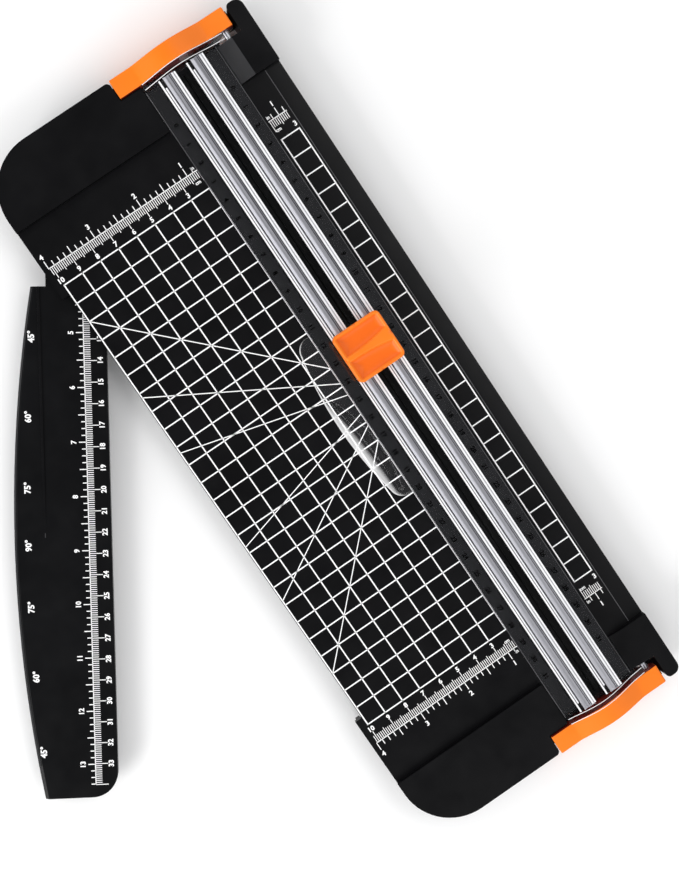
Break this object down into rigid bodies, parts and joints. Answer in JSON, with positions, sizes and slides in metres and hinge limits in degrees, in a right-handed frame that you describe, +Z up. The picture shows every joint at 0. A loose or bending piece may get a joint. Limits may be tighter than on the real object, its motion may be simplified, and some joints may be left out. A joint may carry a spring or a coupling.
{
  "type": "rotary paper trimmer",
  "caption": "Board with a printed centimetre grid, a clear hinged rail carrying a sliding spring-loaded rotary cutter, and a ruler arm that swings out from under the board.",
  "frame": {"origin": "middle of the whole trimmer's footprint on the table, with the ruler arm swung out as at rest", "axes": "+X across the board to the hinge side, +Y along the cut to the far end, +Z up from the table"},
  "size_m": [0.2846, 0.3784, 0.033],
  "materials": {
    "base_plastic": "fine satin moulded texture",
    "mat_plastic": "matte",
    "arm_plastic": "satin",
    "foot_rubber": "matte",
    "pin_steel": "ground",
    "screw_steel": "zinc plated",
    "clear_plastic": "clear, polished",
    "strip_metal": "bright, with fine lengthwise lines",
    "orange_plastic": "satin",
    "yoke_plastic": "satin",
    "spring_steel": "bright wire",
    "blade_steel": "ground, sharp edge"
  },
  "bodies": {
    "base": {"base_plate": "base_plastic", "cutting_mat": "mat_plastic", "foot_far_left": "foot_rubber", "foot_far_right": "foot_rubber", "foot_near_left": "foot_rubber", "foot_near_right": "foot_rubber", "hinge_pin_far": "pin_steel", "hinge_pin_near": "pin_steel", "pivot_washer": "screw_steel", "pivot_screw": "screw_steel"},
    "rail": {"left_rail": "clear_plastic", "right_rail": "clear_plastic", "left_glide_strip": "strip_metal", "right_glide_strip": "strip_metal", "far_end_wall": "clear_plastic", "near_end_wall": "clear_plastic", "far_end_cap": "orange_plastic", "near_end_cap": "orange_plastic", "finger_guard": "clear_plastic"},
    "cutter": {"cutter_housing": "orange_plastic", "far_return_spring": "spring_steel", "near_return_spring": "spring_steel"},
    "press": {"press_cap": "orange_plastic", "blade_yoke": "yoke_plastic", "blade_axle": "pin_steel"},
    "blade": {"blade_wheel": "blade_steel"},
    "ruler": {"ruler_arm": "arm_plastic"}
  },
  "joints": [
    {"name": "rail_hinge", "type": "hinge", "parent": "base", "child": "rail", "pos_m": [0.12827, 0, 0.015], "axis": [0, 1, 0], "range_deg": [0, 80]},
    {"name": "cutter_slide", "type": "slide", "parent": "rail", "child": "cutter", "axis": [0, 1, 0], "range_m": [-0.187, 0.137]},
    {"name": "pad_press", "type": "slide", "parent": "cutter", "child": "press", "axis": [0, 0, -1], "range_m": [0, 0.0025], "stiffness_N_per_m": 600, "springref_m": -0.002, "deforming": ["far_return_spring", "near_return_spring"]},
    {"name": "blade_spin", "type": "hinge", "parent": "press", "child": "blade", "pos_m": [0.10167, 0.0249, 0.0228], "axis": [1, 0, 0], "continuous": true},
    {"name": "arm_swing", "type": "hinge", "parent": "base", "child": "ruler", "pos_m": [0.01607, 0.1407, 0.00915], "axis": [0, 0, 1], "range_deg": [-56.9, 33.1]}
  ]
}
